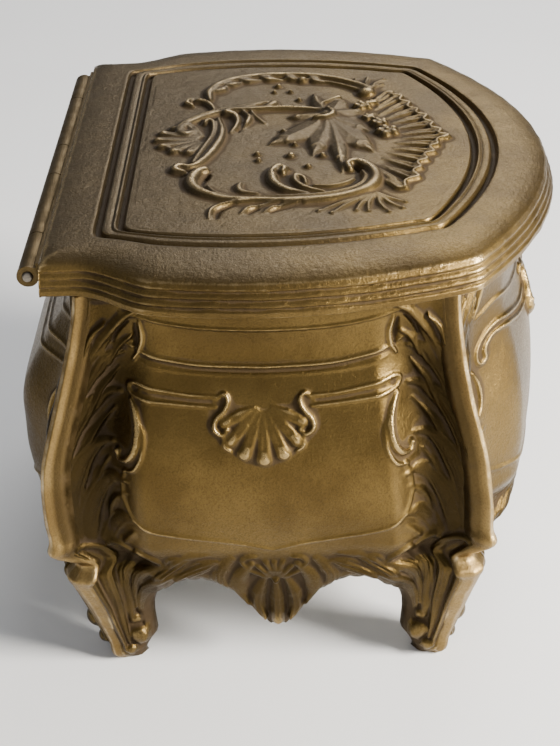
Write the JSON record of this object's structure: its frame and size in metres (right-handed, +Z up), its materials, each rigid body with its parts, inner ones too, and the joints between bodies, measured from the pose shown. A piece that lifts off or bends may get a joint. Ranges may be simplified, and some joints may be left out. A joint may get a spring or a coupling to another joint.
{
  "type": "trinket box",
  "caption": "Small cast trinket box with a bombe body on scrolled legs and a hinged D-shaped lid, silk lined, for rings and other small things.",
  "frame": {"origin": "centre of the bounding box at the level of the feet", "axes": "+Z up, -Y towards the bowed front, +Y towards the hinge, +X to the right as seen from the front"},
  "size_m": [0.089, 0.0772, 0.069],
  "materials": {
    "gilt_casting": "aged gold bronze paint over cast white metal, dark in the recesses and worn on the edges",
    "worn_ridge": "the same gilding, rubbed bright",
    "tinned_plate": "dull tinned sheet",
    "solder": "soft solder, dull grey",
    "hinge_brass": "rolled brass, tarnished",
    "steel_pin": "drawn wire",
    "silk": "old champagne silk",
    "card": "pasteboard",
    "cord": "twisted gold silk cord"
  },
  "bodies": {
    "body": {"left_casting": "gilt_casting", "right_casting": "gilt_casting", "front_casting": "gilt_casting", "back_casting": "gilt_casting", "front_left_ridge": "worn_ridge", "front_right_ridge": "worn_ridge", "back_left_ridge": "worn_ridge", "back_right_ridge": "worn_ridge", "floor_plate": "tinned_plate", "floor_lugs": "solder", "body_hinge_leaf": "hinge_brass", "hinge_pin": "steel_pin", "front_lining": "silk", "back_lining": "silk", "left_lining": "silk", "right_lining": "silk", "floor_card": "card", "floor_pad": "silk", "mouth_cord": "cord"},
    "lid": {"lid_casting": "gilt_casting", "lid_hinge_leaf": "hinge_brass", "lid_card": "card", "lid_pad": "silk", "lid_cord": "cord"}
  },
  "joints": [
    {"name": "lid_hinge", "type": "hinge", "parent": "body", "child": "lid", "pos_m": [0, 0.03352, 0.0635], "axis": [-1, 0, 0], "range_deg": [0, 95]}
  ]
}
